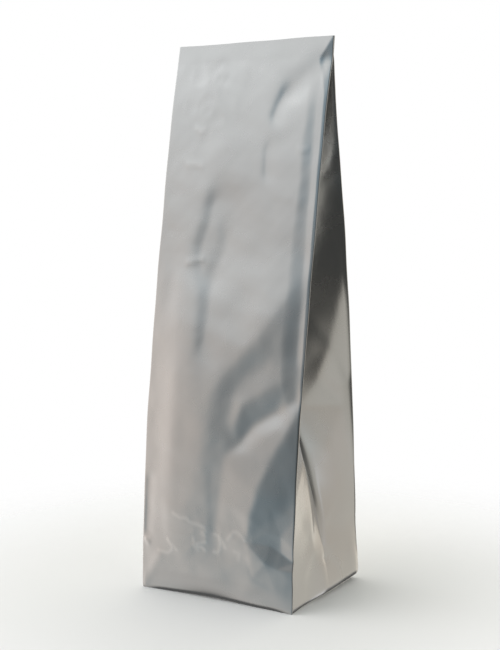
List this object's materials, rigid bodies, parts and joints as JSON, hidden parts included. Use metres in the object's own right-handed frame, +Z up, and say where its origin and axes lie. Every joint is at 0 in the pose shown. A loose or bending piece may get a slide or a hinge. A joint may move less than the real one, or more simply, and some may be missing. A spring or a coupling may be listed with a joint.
{
  "type": "side gusset bag",
  "caption": "Tall silver foil bag with folded side gussets, a flat block foot and a top pressed flat, filled, shut and standing upright.",
  "frame": {"origin": "on the floor under the middle of the bag", "axes": "+Z up, -Y out of the front panel, +X to the right as the front panel is seen"},
  "size_m": [0.0903, 0.0664, 0.265],
  "materials": {
    "film": "satin silver film, softly creased"
  },
  "bodies": {
    "root": {"bag": "film"}
  },
  "joints": []
}
